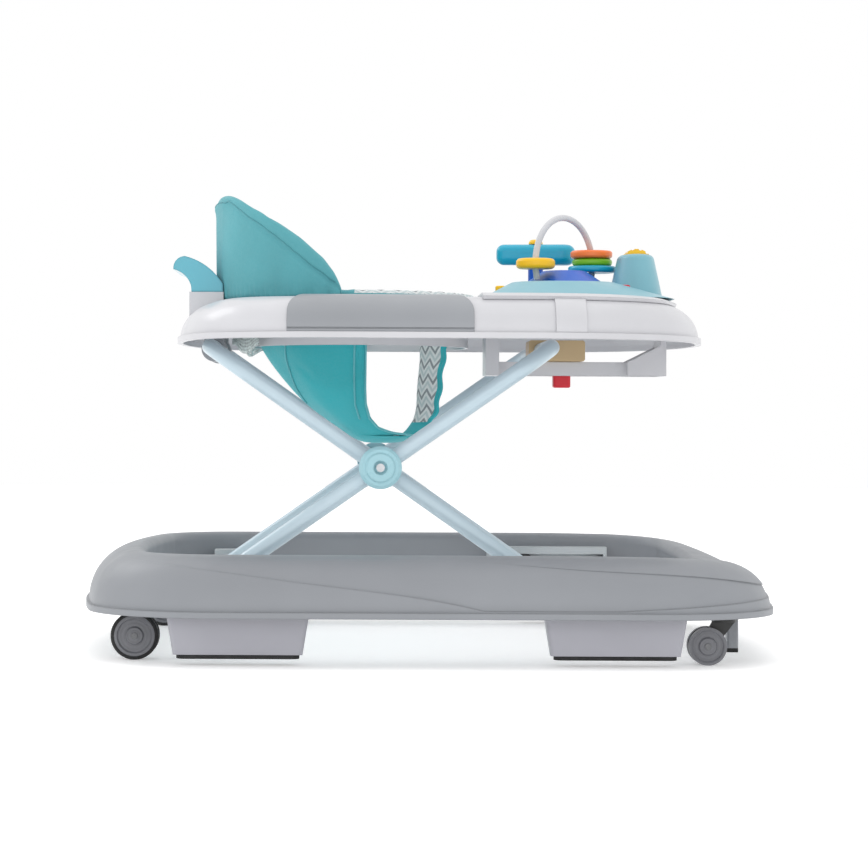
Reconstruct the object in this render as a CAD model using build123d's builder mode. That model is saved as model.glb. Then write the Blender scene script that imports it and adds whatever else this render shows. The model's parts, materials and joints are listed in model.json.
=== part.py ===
"""Baby walker: a scissor frame between a wheeled floor tray and an upper ring with seat and play tray.

Millimetres. +X is the walker's front, +Y its left side, +Z up. The origin is on the floor under the middle.
"""
import os
from math import cos, radians, sin, sqrt

from build123d import *

os.makedirs("parts", exist_ok=True)

# Floor tray: plan outline at the lip, and the moulded channel section
base_rear = 345.0
base_front = 345.0
base_half_width = 302.0
base_rear_bow = 1200.0
base_rear_corner = 130.0
base_front_bow = 1500.0
base_front_corner = 120.0
base_lip_z = 46.0
base_rim_z = 103.0
base_roll = 60.0
base_skirt_z = 58.0

# Front of the floor tray: towards the tip the rim falls and its roll widens
nose_start_x = 100.0
nose_fall = 14.0
nose_spread = 12.0
nose_shares = ((0.0, 0.0), (0.33, 0.15), (0.66, 0.55), (1.0, 1.0))

# Recessed swoosh along the floor tray's sides, between two creases in side view
swoosh_depth = 1.8
swoosh_fade = 0.4
lower_crease = [(-350.0, 100.0), (-231.0, 92.5), (-115.0, 78.0), (6.0, 62.5), (70.0, 48.0)]
upper_crease = [(355.0, 64.0), (263.0, 84.0), (158.0, 90.5), (56.0, 97.5), (-60.0, 106.0)]

# Upper ring: plan outline at the lip, and the section of its skin
ring_rear = 255.5
ring_front = 283.0
ring_half_width = 268.0
ring_rear_bow = 700.0
ring_rear_corner = 125.0
ring_front_bow = 520.0
ring_front_corner = 170.0
ring_lip_z = 308.0
ring_top_z = 349.0
ring_roll = 45.0
ring_skirt_z = 305.0

# Mouldings
wall = 3.0
lip_height = 6.0
lip_step = 3.0
shoulder = 9.0

# Clearances
slip = 0.3
running = 0.05
slide_play = 0.4

# Scissor frame
fold_angle = 35.0
hub_x = -48.0
hub_z = 185.0
lower_arm = 200.0
upper_arm = 205.0
tube_d = 16.0
tube_wall = 1.2
tube_bend = 45.0
tube_overrun = 14.0
frame_to_wall = 43.0
frame_pitch = 19.0
pin_d = 8.0
pin_head = 2.0
pin_head_depth = 3.0
fold_most = 27.0
raise_most = 5.0

# Hub covers
cover_r = 20.6
cover_depth = 14.0
cap_r = 15.0
cap_depth = 9.0
washer_r = 12.0
screw_r = 4.0
screw_sink = 4.0
screw_height = 2.5
cover_step = 3.0

# Pivot brackets and slide tracks on the base
bracket_length = 32.0
bracket_drop = 14.0
track_height = 36.0
track_depth = 20.0
track_web = 4.0
shoe_length = 24.0
shoe_height = 19.2
stop_d = 12.0

# Rear wheels
rear_wheel_x = -283.0
rear_wheel_inset = 97.0
rear_wheel_d = 46.0
tyre_thickness = 3.5
disc_width = 9.0
arm_thickness = 5.0
axle_d = 6.0
dish_depth = 1.5
dish_rim = 2.5
wheel_bracket_half = 9.0

# Front casters
caster_x = 278.0
caster_inset = 62.0
caster_trail = 16.0
caster_wheel_d = 36.0
caster_disc_width = 7.0
stem_d = 8.0
socket_r = 12.0
socket_top_z = 86.0
socket_proud = 1.0
socket_roof = 10.0
hood_gap = 0.5
hood_height = 4.0

# Stopper boxes, strips and front posts
box_length = 140.0
box_width = 31.0
box_taper = 9.0
box_lap = 8.0
box_wall = 2.0
box_corner = 4.0
box_bottom_z = 10.0
rear_box_x = -182.0
front_box_x = 173.0
strip_height = 4.0
strip_width = 18.0
post_x = 293.0
post_inset = 112.0
post_size = 11.0
post_depth = 15.0
post_bottom_z = 12.0
pad_height = 4.0

# Seat hole and soft parts
seat_x = -70.0
seat_half_length = 112.0
seat_half_width = 132.0
rim_inset = 4.0
rim_width = 17.0
rim_height = 8.0
backrest_thickness = 20.0
backrest_top_z = 461.0
backrest_front_x = -84.0
cloth = 4.0
sling_bottom_z = 206.5
sling_floor = (21.0, 34.0)
hem_x = -61.0
hem_bottom_z = 217.0
hem_bend = 27.0
hem_band = 27.0
backrest_crown = 7.0
backrest_gap = 2.0
fin_rear = (-1.0, -4.0)
fin_peak = (15.0, 0.0)
fin_slope_x = 84.0
fin_slope_share = 0.376085

# Push handle
handle_half_width = 62.0
handle_rear_x = -239.0
socket_height = 11.0
socket_rise = 26.0
socket_edge = 2.0
grip_points = ((-0.5, 6.0), (-7.0, 17.0), (-18.5, 23.0), (-15.5, 32.5), (-7.0, 36.5), (17.0, 25.0),
               (36.0, 0.0))

# Clamps on the rear crossbar
clamp_y = 45.0
clamp_half = 10.0
clamp_wall = 5.0

# Height adjuster under the tray
rail_rear_x = 62.0
rail_front_x = 248.0
rail_bottom_z = 277.0
rail_height = 14.4
rail_gap = 24.0
rail_plate = 4.0
rail_rear_post = 14.0
rail_front_post = 6.0
rail_half_width = 30.0
gusset_height = 17.0
gusset_length = 40.0
slider_rear = 13.0
slider_front = 45.0
slider_half_width = 24.0
button_size = 18.0
button_reach = 14.0
button_travel = 4.0
button_stem_d = 8.0
button_lap = 1.5

# Play tray
tray_gap = 3.0
tray_rear_x = 48.0
tray_thickness = 4.0
tray_wrap = 26.0
dome_rear_x = 53.0
dome_front_x = 248.0
dome_half_width = 152.0
dome_corner = 60.0
dome_crown = 7.0
dome_height = 17.5
dome_top_rear_x = 86.0
dome_top_front_x = 190.0
dome_top_half_width = 112.0
mound_x = 219.0
mound_top_z = 403.0
mound_foot = (29.0, 44.0)
mound_crown = (18.0, 31.0)
mound_round = 6.0
clip_rear_x = 116.0
clip_front_x = 146.0
skin = 2.0

# Side panels
panel_rear_x = -137.5
panel_front_x = 39.0
panel_bottom_z = 313.0
panel_corner = 17.0
groove_lift = 3.5
groove_width = 1.4

# Toys
arch_x = 145.0
arch_turn = 48.0
arch_r = 48.5
arch_d = 6.5
arch_rise = 22.5
arch_overrun = 20.0
stacked_beads = (("bead_teal", 25.5, 7.0), ("bead_green", 21.0, 7.2), ("bead_orange", 22.0, 8.2))
bead_round = 3.0
bead_hole_r = 5.4
bead_gap = 0.4
yellow_r = 20.0
yellow_thickness = 10.6
yellow_round = 4.0
toy_dome_height = 15.5
toy_dome_foot = (45.0, 58.0)
toy_dome_crown = (22.0, 26.0)
toy_dome_round = 4.0
spinner_x = 121.0
spinner_y = 82.0
spinner_head = 15.0
spinner_tail = 8.5
spinner_reach = 42.0
spinner_round = 8.0
spinner_thickness = 22.0
spinner_lift = 26.5
pivot_r = 4.0
knob_r = 7.5
knob_height = 5.0
knob_round = 4.0
roller_d = 34.0
roller_width = 24.0
roller_axle_r = 2.5
rib_count = 14
rib_depth = 1.2
rib_r = 1.8
push_d = 10.0
push_proud = 3.0
push_depth = 9.0
red_push_at = (203.0, -52.0)
yellow_push_at = (75.0, -60.0)

# Points of the scissor in side view, as (x, z)
tube_r = tube_d / 2
pin_r = pin_d / 2
base_inner_y = base_half_width - base_roll
outer_frame_y = base_inner_y - frame_to_wall
inner_frame_y = outer_frame_y - frame_pitch
rear_wheel_y = base_half_width - rear_wheel_inset
caster_y = base_half_width - caster_inset
post_y = base_half_width - post_inset
tilt = radians(fold_angle)
rear_foot = (hub_x - lower_arm * cos(tilt), hub_z - lower_arm * sin(tilt))
front_foot = (hub_x + lower_arm * cos(tilt), rear_foot[1])
rear_head = (hub_x - upper_arm * cos(tilt), hub_z + upper_arm * sin(tilt))
front_head = (hub_x + upper_arm * cos(tilt), rear_head[1])
outer_run = Vector(cos(tilt), 0, sin(tilt))
inner_run = Vector(-cos(tilt), 0, sin(tilt))

base_plan = (base_rear, base_front, base_half_width, base_rear_bow, base_rear_corner, base_front_bow,
             base_front_corner)
ring_plan = (ring_rear, ring_front, ring_half_width, ring_rear_bow, ring_rear_corner, ring_front_bow,
             ring_front_corner)


def save(piece, name):
    """Label a finished piece and write it."""
    piece.part.label = name
    export_step(piece.part, f"parts/{name}.step")


def foot_x(angle):
    """Where the sliding foot stands when the frames lie at this angle to the floor."""
    return rear_foot[0] + 2 * lower_arm * cos(radians(angle))


def outline(plan, inset=0.0, z=0.0):
    """Closed plan outline with bowed ends, round corners and straight sides."""
    rear, front, half_width, rear_bow, rear_corner, front_bow, front_corner = plan
    half = half_width - inset

    def end(reach, bow, corner):
        """Tip, corner centre, meeting point of bow and corner, and middle of the corner arc of one end."""
        tip, bow_r, corner_r = reach - inset, bow - inset, corner - inset
        bow_x = tip - bow_r
        corner_y = half - corner_r
        corner_x = bow_x + sqrt((bow_r - corner_r) ** 2 - corner_y ** 2)
        lean = Vector(corner_x - bow_x, corner_y).normalized()
        halfway = (lean + Vector(0, 1)).normalized() * corner_r
        meet = (corner_x + lean.X * corner_r, corner_y + lean.Y * corner_r)
        return tip, corner_x, meet, (corner_x + halfway.X, corner_y + halfway.Y)

    tip_f, side_f, meet_f, mid_f = end(front, front_bow, front_corner)
    tip_r, side_r, meet_r, mid_r = end(rear, rear_bow, rear_corner)
    with BuildLine(Plane.XY.offset(z)) as line:
        ThreePointArc((-meet_r[0], meet_r[1]), (-tip_r, 0), (-meet_r[0], -meet_r[1]))
        ThreePointArc((-meet_r[0], -meet_r[1]), (-mid_r[0], -mid_r[1]), (-side_r, -half))
        Line((-side_r, -half), (side_f, -half))
        ThreePointArc((side_f, -half), (mid_f[0], -mid_f[1]), (meet_f[0], -meet_f[1]))
        ThreePointArc((meet_f[0], -meet_f[1]), (tip_f, 0), meet_f)
        ThreePointArc(meet_f, mid_f, (side_f, half))
        Line((side_f, half), (-side_r, half))
        ThreePointArc((-side_r, half), (-mid_r[0], mid_r[1]), (-meet_r[0], meet_r[1]))
    return line.wire()


def plan_face(plan, inset, z):
    """The area inside a plan outline, at a height."""
    with BuildSketch(Plane.XY.offset(z)) as face:
        make_face(outline(plan, inset, 0).edges())
    return face.sketch


def lip_plane(point, inward):
    """Upright plane at a point of an outline, drawn inwards and upwards."""
    return Plane(origin=point, x_dir=inward, z_dir=inward.cross(Vector(0, 0, 1)))


def rear_tip(plan):
    """The lip plane at the rear tip of an outline."""
    return lip_plane((-plan[0], 0, 0), Vector(1, 0, 0))


def channel_section(plane, lip_z, top_z, roll, skirt_z=None):
    """Section of a moulded rim: lip, quarter-ellipse wall and, with a skirt, a rolled inner wall."""
    lip_top = lip_z + lip_height
    bend = shoulder if skirt_z is not None else 0.0
    crest = roll - bend
    run = crest - lip_step
    rise = top_z - lip_top
    with BuildSketch(plane) as section:
        with BuildLine():
            Polyline((lip_step, lip_top), (0, lip_top), (0, lip_z), (lip_step + wall, lip_z),
                     (lip_step + wall, lip_top))
            EllipticalCenterArc((crest, lip_top), run - wall, rise - wall, start_angle=90, arc_size=90)
            if skirt_z is None:
                Line((crest, top_z - wall), (crest, top_z))
            else:
                CenterArc((crest, top_z - bend), bend - wall, 0, 90)
                Polyline((roll - wall, top_z - bend), (roll - wall, skirt_z), (roll, skirt_z),
                         (roll, top_z - bend))
                CenterArc((crest, top_z - bend), bend, 0, 90)
            EllipticalCenterArc((crest, lip_top), run, rise, start_angle=90, arc_size=90)
        make_face()
    return section.sketch


def wall_skin(plane, lip_z, top_z, crest, near_by, far_by, arc):
    """Section of a skin on a rim's outer wall, from its crest down an arc, between two growths of it."""
    lip_top = lip_z + lip_height
    run = crest - lip_step
    rise = top_z - lip_top
    with BuildSketch(plane) as section:
        with BuildLine():
            near = EllipticalCenterArc((crest, lip_top), run + near_by[0], rise + near_by[1], start_angle=90,
                                       arc_size=arc)
            far = EllipticalCenterArc((crest, lip_top), run + far_by[0], rise + far_by[1], start_angle=90,
                                      arc_size=arc)
            Line(near @ 0, far @ 0)
            Line(near @ 1, far @ 1)
        make_face()
    return section.sketch


def ring_skin(low, high, arc):
    """A skin of even thickness on the upper ring's outer wall."""
    return wall_skin(rear_tip(ring_plan), ring_lip_z, ring_top_z, ring_roll, (low, low), (high, high), arc)


def base_section(plane, fall, spread):
    """The floor tray's section where its rim has fallen and its roll has widened."""
    return channel_section(plane, base_lip_z, base_rim_z - fall, base_roll + spread, base_skirt_z)


def swoosh_section(plane, fall, spread):
    """Section of the cutter for the swoosh, which fades out below the rim's crest."""
    return wall_skin(plane, base_lip_z, base_rim_z - fall, base_roll + spread - shoulder,
                     (-swoosh_depth, swoosh_fade), (wall, wall), 88)


def base_body(section):
    """A section carried round the floor tray, its rim falling towards the front tip."""
    edges = outline(base_plan).edges()
    rear_bow_edge, rear_corner_edge, side_edge, front_corner_edge, front_bow_edge = edges[:5]
    start = Vector(nose_start_x, -base_half_width)
    with BuildLine() as rear_route:
        Line(start, side_edge @ 0)
        add([rear_corner_edge, rear_bow_edge, edges[7]])
        Line(edges[7] @ 0, (start.X, -start.Y))
    with BuildLine() as nose_route:
        Line(start, side_edge @ 1)
        add([front_corner_edge, front_bow_edge.trim(0, 0.5)])
    rear_wire, nose_wire = rear_route.wire(), nose_route.wire()
    sections = []
    for along, share in nose_shares:
        inward = Vector(0, 0, 1).cross(nose_wire % along)
        plane = lip_plane(nose_wire @ along, inward)
        sections.append(section(plane, nose_fall * share, nose_spread * share))
    rear = sweep(section(lip_plane(start, Vector(0, 1, 0)), 0, 0), path=rear_wire, mode=Mode.PRIVATE)
    nose = sweep(sections=sections, path=nose_wire, multisection=True, mode=Mode.PRIVATE)
    return rear + nose + mirror(nose, about=Plane.XZ, mode=Mode.PRIVATE)


def disc(x, z, radius, y):
    """A circle across the walker, at a place in side view."""
    with BuildSketch(Plane.XZ.offset(-y)) as face:
        with Locations((x, z)):
            Circle(radius)
    return face.sketch


def rod(x, z, radius, y_low, y_high, mode=Mode.ADD):
    """A cylinder across the walker, added to the piece being built."""
    extrude(disc(x, z, radius, y_high), amount=y_high - y_low, mode=mode)


def side_box(x_low, x_high, z_low, z_high, y_low, y_high, mode=Mode.ADD):
    """A block given by its limits, added to the piece being built."""
    with BuildSketch(Plane.XY.offset(z_low)) as face:
        with Locations(((x_low + x_high) / 2, (y_low + y_high) / 2)):
            Rectangle(x_high - x_low, y_high - y_low)
    extrude(face.sketch, amount=z_high - z_low, mode=mode)


def oval(x, half_length, half_width, z):
    """An ellipse in plan, at a height."""
    with BuildSketch(Plane.XY.offset(z)) as face:
        with Locations((x, 0)):
            Ellipse(half_length, half_width)
    return face.sketch


# Floor tray
with BuildPart() as base_shell:
    add(base_body(base_section))
    with BuildSketch(Plane.XZ) as swoosh:
        with BuildLine():
            low = Spline(*lower_crease)
            high = Spline(*upper_crease)
            Line(low @ 1, high @ 0)
            Polyline(high @ 1, (high @ 1 + Vector(0, base_roll)), (low @ 0 + Vector(0, base_roll)), low @ 0)
        make_face()
    with BuildPart(mode=Mode.PRIVATE) as cutter:
        add(base_body(swoosh_section))
        extrude(swoosh.sketch, amount=2 * base_half_width, both=True, mode=Mode.INTERSECT)
    add(cutter.part, mode=Mode.SUBTRACT)
save(base_shell, "base_shell")

# Pivot brackets on the inner wall, with their pins
outer_face_y = outer_frame_y + tube_r
with BuildPart() as pivot_brackets:
    side_box(rear_foot[0] - bracket_length / 2, rear_foot[0] + bracket_length / 2, base_skirt_z,
             rear_foot[1] + bracket_drop, outer_face_y + slip, base_half_width)
    extrude(plan_face(base_plan, base_roll, base_lip_z), amount=base_rim_z, mode=Mode.INTERSECT)
    rod(*rear_foot, pin_r + running, outer_face_y, base_half_width, mode=Mode.SUBTRACT)
    mirror(about=Plane.XZ)
save(pivot_brackets, "pivot_brackets")

with BuildPart() as pivot_pins:
    rod(*rear_foot, pin_r, outer_frame_y - tube_r - slip, base_inner_y - lip_step)
    rod(*rear_foot, pin_r + pin_head, outer_frame_y - tube_r - slip - pin_head_depth,
        outer_frame_y - tube_r - slip)
    mirror(about=Plane.XZ)
save(pivot_pins, "pivot_pins")

# Slide tracks for the sliding feet, with a round stop at the front end
track_face_y = base_inner_y - track_depth
web_y = base_inner_y - track_web
shoe_front_x = foot_x(fold_angle - fold_most) + shoe_length / 2
stop_x = shoe_front_x + slip + stop_d / 2
track_rear_x = foot_x(fold_angle + raise_most) - shoe_length / 2 - slip - track_web
track_front_x = stop_x + stop_d / 2 + track_web
slot_half = shoe_height / 2 + slide_play
with BuildPart() as slide_tracks:
    side_box(track_rear_x, track_front_x, front_foot[1] - track_height / 2, front_foot[1] + track_height / 2,
             track_face_y, base_half_width)
    extrude(plan_face(base_plan, base_roll, 0), amount=base_rim_z, mode=Mode.INTERSECT)
    side_box(track_rear_x + track_web, track_front_x - track_web, front_foot[1] - slot_half,
             front_foot[1] + slot_half, track_face_y, web_y, mode=Mode.SUBTRACT)
    mirror(about=Plane.XZ)
    add(base_shell.part, mode=Mode.SUBTRACT)
save(slide_tracks, "slide_tracks")

with BuildPart() as track_stops:
    rod(stop_x, front_foot[1], stop_d / 2, track_face_y - lip_step, web_y)
    mirror(about=Plane.XZ)
save(track_stops, "track_stops")

# Sliding shoes on the inner frame's feet
with BuildPart() as slide_shoes:
    side_box(front_foot[0] - shoe_length / 2, front_foot[0] + shoe_length / 2,
             front_foot[1] - shoe_height / 2, front_foot[1] + shoe_height / 2,
             track_face_y + slip, web_y - slip)
    fillet(slide_shoes.edges().filter_by(Axis.Y), radius=pin_r)
    rod(*front_foot, tube_r - tube_wall, inner_frame_y + tube_r + slip, track_face_y + slip)
    rod(*front_foot, pin_r, inner_frame_y - tube_r - slip, inner_frame_y + tube_r + slip)
    rod(*front_foot, pin_r + pin_head, inner_frame_y - tube_r - slip - pin_head_depth,
        inner_frame_y - tube_r - slip)
    mirror(about=Plane.XZ)
save(slide_shoes, "slide_shoes")


def u_frame(foot, head, run, half_width):
    """Tube section at the right foot and the bent route up, across and down to the left foot."""
    start = Vector(foot[0], 0, foot[1]) - run * tube_overrun
    corners = [(start.X, -half_width, start.Z), (head[0], -half_width, head[1]),
               (head[0], half_width, head[1]),
               (start.X, half_width, start.Z)]
    with BuildLine() as route:
        FilletPolyline(*corners, radius=tube_bend)
    with BuildSketch(Plane(origin=corners[0], x_dir=(0, 1, 0), z_dir=run)) as section:
        Circle(tube_r)
        Circle(tube_r - tube_wall, mode=Mode.SUBTRACT)
    return section.sketch, route.wire()


def tube_saddle(run, y, radius):
    """A cylinder along a tube at the hub, cut out of the piece being built."""
    with BuildSketch(Plane(origin=(hub_x, y, hub_z), x_dir=(0, 1, 0), z_dir=run)) as section:
        Circle(radius)
    extrude(section.sketch, amount=2 * cover_r, both=True, mode=Mode.SUBTRACT)


# The two crossed frames, each a bent tube
with BuildPart() as outer_frame:
    tube, route = u_frame(rear_foot, front_head, outer_run, outer_frame_y)
    sweep(tube, path=route)
    for place in (rear_foot, (hub_x, hub_z)):
        rod(*place, pin_r + running, -base_half_width, base_half_width, mode=Mode.SUBTRACT)
save(outer_frame, "outer_frame")

with BuildPart() as inner_frame:
    tube, route = u_frame(front_foot, rear_head, inner_run, inner_frame_y)
    sweep(tube, path=route)
    for place in (front_foot, (hub_x, hub_z)):
        rod(*place, pin_r + running, -base_half_width, base_half_width, mode=Mode.SUBTRACT)
save(inner_frame, "inner_frame")

# Hub: pin, washer, inner cap, outer cover and its screw
cover_front_y = outer_face_y + cover_depth
cap_back_y = inner_frame_y - tube_r - cap_depth
with BuildPart() as hub_pins:
    rod(hub_x, hub_z, pin_r, cap_back_y + wall, outer_face_y + wall)
    mirror(about=Plane.XZ)
save(hub_pins, "hub_pins")

with BuildPart() as hub_washers:
    rod(hub_x, hub_z, washer_r, inner_frame_y + tube_r + slip, outer_frame_y - tube_r - slip)
    rod(hub_x, hub_z, pin_r + running, inner_frame_y, outer_frame_y, mode=Mode.SUBTRACT)
    mirror(about=Plane.XZ)
save(hub_washers, "hub_washers")

with BuildPart() as hub_inner_caps:
    rod(hub_x, hub_z, cap_r, cap_back_y, inner_frame_y)
    fillet(hub_inner_caps.faces().sort_by(Axis.Y)[0].edges(), radius=wall)
    tube_saddle(inner_run, inner_frame_y, tube_r + running)
    rod(hub_x, hub_z, pin_r + running, cap_back_y + wall, inner_frame_y, mode=Mode.SUBTRACT)
    mirror(about=Plane.XZ)
save(hub_inner_caps, "hub_inner_caps")

screw_floor_y = cover_front_y - screw_sink
with BuildPart() as hub_covers:
    with BuildSketch(Plane.YZ.offset(hub_x)):
        with BuildLine():
            Polyline((outer_frame_y, hub_z), (outer_frame_y, hub_z + cover_r),
                     (cover_front_y - 2 * cover_step, hub_z + cover_r),
                     (cover_front_y - cover_step, hub_z + cover_r - cover_step),
                     (cover_front_y - cover_step, hub_z + cover_r - 2 * cover_step),
                     (cover_front_y - cover_step / 3, hub_z + cover_r - 2.5 * cover_step),
                     (cover_front_y, hub_z + screw_r + cover_step),
                     (screw_floor_y, hub_z + screw_r + cover_step / 3),
                     (screw_floor_y, hub_z), (outer_frame_y, hub_z))
        make_face()
    revolve(axis=Axis((hub_x, 0, hub_z), (0, 1, 0)))
    tube_saddle(outer_run, outer_frame_y, tube_r + running)
    rod(hub_x, hub_z, pin_r + running, outer_frame_y, outer_face_y + wall, mode=Mode.SUBTRACT)
    mirror(about=Plane.XZ)
save(hub_covers, "hub_covers")

with BuildPart() as hub_screws:
    rod(hub_x, hub_z, screw_r, screw_floor_y, screw_floor_y + screw_height)
    mirror(about=Plane.XZ)
save(hub_screws, "hub_screws")


def wheel_disc(x, z, radius, bore, y_inner, y_outer):
    """A dished disc on an axle across the walker, its dish on the outer face."""
    dish_y = y_outer - dish_depth if y_outer > y_inner else y_outer + dish_depth
    with BuildSketch(Plane.YZ.offset(x)) as section:
        with BuildLine():
            Polyline((y_inner, z + bore), (y_inner, z + radius), (y_outer, z + radius),
                     (y_outer, z + radius - dish_rim), (dish_y, z + radius - dish_rim - dish_depth),
                     (dish_y, z + axle_d + 2 * dish_depth), (y_outer, z + axle_d + dish_depth),
                     (y_outer, z + bore), (y_inner, z + bore))
        make_face()
    revolve(section.sketch, axis=Axis((x, 0, z), (0, 1, 0)))


def tyre_ring(x, z, inner_r, outer_r, y_inner, y_outer):
    """A tyre with bevelled edges round one disc."""
    low, high = sorted((y_inner, y_outer))
    edge = (outer_r - inner_r) / 2
    with BuildSketch(Plane.YZ.offset(x)) as section:
        with BuildLine():
            Polyline((low, z + inner_r), (low, z + outer_r - edge), (low + edge, z + outer_r),
                     (high - edge, z + outer_r), (high, z + outer_r - edge), (high, z + inner_r),
                     (low, z + inner_r))
        make_face()
    revolve(section.sketch, axis=Axis((x, 0, z), (0, 1, 0)))


# Rear wheels: twin discs with tyres on an axle that turns in a bracket under the base
axle_r = axle_d / 2
rear_wheel_z = rear_wheel_d / 2
rear_disc_r = rear_wheel_d / 2 - tyre_thickness
disc_start = arm_thickness / 2 + 2 * slip
for side, hand in ((-1, "right"), (1, "left")):
    wheel_y = side * rear_wheel_y
    disc_faces = [(wheel_y + out * disc_start, wheel_y + out * (disc_start + disc_width)) for out in (-1, 1)]
    with BuildPart() as rear_wheel:
        for faces in disc_faces:
            wheel_disc(rear_wheel_x, rear_wheel_z, rear_disc_r, axle_r, *faces)
    save(rear_wheel, f"rear_wheel_{hand}")
    with BuildPart() as rear_tyre:
        for faces in disc_faces:
            tyre_ring(rear_wheel_x, rear_wheel_z, rear_disc_r, rear_wheel_d / 2, *faces)
    save(rear_tyre, f"rear_tyre_{hand}")
    with BuildPart() as rear_axle:
        reach = disc_start + disc_width + 1
        rod(rear_wheel_x, rear_wheel_z, axle_r, wheel_y - reach, wheel_y + reach)
    save(rear_axle, f"rear_axle_{hand}")

bracket_rear_x = rear_wheel_x - wheel_bracket_half
bracket_front_x = rear_wheel_x + wheel_bracket_half
bracket_top_z = base_rim_z - 2 * wall
with BuildPart() as rear_wheel_brackets:
    arm_low, arm_high = rear_wheel_y - arm_thickness / 2, rear_wheel_y + arm_thickness / 2
    rod(rear_wheel_x, rear_wheel_z, wheel_bracket_half, arm_low, arm_high)
    side_box(bracket_rear_x, bracket_front_x, rear_wheel_z, bracket_top_z, arm_low, arm_high)
    side_box(bracket_rear_x, bracket_front_x, base_skirt_z, bracket_top_z, arm_low - arm_thickness, arm_high)
    rod(rear_wheel_x, rear_wheel_z, axle_r + running, arm_low, arm_high, mode=Mode.SUBTRACT)
    mirror(about=Plane.XZ)
    add(base_shell.part, mode=Mode.SUBTRACT)
save(rear_wheel_brackets, "rear_wheel_brackets")

# Front casters: socket in the base, fork with a stem, twin wheel on an axle
caster_wheel_x = caster_x - caster_trail
caster_wheel_z = caster_wheel_d / 2
socket_bottom_z = base_lip_z - socket_proud
hood_top_z = socket_bottom_z - hood_gap
stem_top_z = socket_top_z - socket_roof
with BuildPart() as caster_sockets:
    with BuildSketch(Plane.XY.offset(socket_bottom_z)):
        with Locations((caster_x, caster_y)):
            Circle(socket_r)
    extrude(amount=socket_top_z - socket_bottom_z)
    with BuildSketch(Plane.XY.offset(socket_bottom_z)):
        with Locations((caster_x, caster_y)):
            Circle(stem_d / 2 + running)
    extrude(amount=stem_top_z + slip - socket_bottom_z, mode=Mode.SUBTRACT)
    mirror(about=Plane.XZ)
    add(base_shell.part, mode=Mode.SUBTRACT)
save(caster_sockets, "caster_sockets")

for side, hand in ((-1, "right"), (1, "left")):
    wheel_y = side * caster_y
    with BuildPart() as caster_fork:
        with BuildSketch(Plane.XY.offset(hood_top_z - hood_height)):
            with Locations((caster_x, wheel_y)):
                Circle(socket_r - hood_gap)
        extrude(amount=hood_height)
        with BuildSketch(Plane.XY.offset(hood_top_z)):
            with Locations((caster_x, wheel_y)):
                Circle(stem_d / 2)
        extrude(amount=stem_top_z - hood_top_z)
        with BuildSketch(Plane.XZ.offset(-wheel_y)):
            with Locations((caster_wheel_x, caster_wheel_z)):
                Circle(axle_d + skin / 2)
            with Locations((caster_x, hood_top_z - hood_height + skin / 2)):
                Rectangle(2 * socket_r - hood_height, skin)
            make_hull()
        extrude(amount=arm_thickness / 2, both=True)
        rod(caster_wheel_x, caster_wheel_z, axle_r + running, wheel_y - arm_thickness,
            wheel_y + arm_thickness, mode=Mode.SUBTRACT)
    save(caster_fork, f"caster_fork_{hand}")
    with BuildPart() as caster_wheel:
        for out in (-1, 1):
            wheel_disc(caster_wheel_x, caster_wheel_z, caster_wheel_d / 2, axle_r,
                       wheel_y + out * disc_start, wheel_y + out * (disc_start + caster_disc_width))
    save(caster_wheel, f"caster_wheel_{hand}")
    with BuildPart() as caster_axle:
        reach = disc_start + caster_disc_width + 1
        rod(caster_wheel_x, caster_wheel_z, axle_r, wheel_y - reach, wheel_y + reach)
    save(caster_axle, f"caster_axle_{hand}")

# Stopper boxes with rubber strips, and the front stop posts with pads
box_low_y = base_inner_y + wall
box_mid_y = box_low_y + box_width / 2
box_top_z = base_skirt_z + box_lap
for name, middle in (("rear_stopper_boxes", rear_box_x), ("front_stopper_boxes", front_box_x)):
    with BuildPart() as stopper_box:
        with BuildSketch(Plane.XY.offset(box_bottom_z)):
            with Locations((middle, box_mid_y)):
                Rectangle(box_length - 2 * box_taper, box_width - box_taper)
        with BuildSketch(Plane.XY.offset(box_top_z)):
            with Locations((middle, box_mid_y)):
                Rectangle(box_length, box_width)
        loft()
        uprights = stopper_box.edges().filter_by(Axis.X, reverse=True).filter_by(Axis.Y, reverse=True)
        fillet(uprights, radius=box_corner)
        offset(amount=-box_wall, openings=stopper_box.faces().sort_by(Axis.Z)[-1])
        mirror(about=Plane.XZ)
    save(stopper_box, name)

with BuildPart() as stopper_strips:
    with BuildSketch(Plane.XY.offset(box_bottom_z - strip_height)):
        with Locations((rear_box_x, box_mid_y), (front_box_x, box_mid_y)):
            SlotOverall(box_length - 2 * box_taper - 2 * wall, strip_width)
    extrude(amount=strip_height)
    mirror(about=Plane.XZ)
save(stopper_strips, "stopper_strips")

with BuildPart() as front_stop_posts:
    with BuildSketch(Plane.XY.offset(post_bottom_z)):
        with Locations((post_x, post_y)):
            RectangleRounded(post_size, post_depth, skin)
    extrude(amount=base_rim_z - post_bottom_z)
    add(base_shell.part, mode=Mode.SUBTRACT)
    add(front_stop_posts.solids().sort_by(Axis.Z)[0], mode=Mode.REPLACE)
    mirror(about=Plane.XZ)
save(front_stop_posts, "front_stop_posts")

with BuildPart() as front_stop_pads:
    with BuildSketch(Plane.XY.offset(post_bottom_z - pad_height)):
        with Locations((post_x, post_y)):
            RectangleRounded(post_size, post_depth, skin)
    extrude(amount=pad_height)
    mirror(about=Plane.XZ)
save(front_stop_pads, "front_stop_pads")

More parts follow.
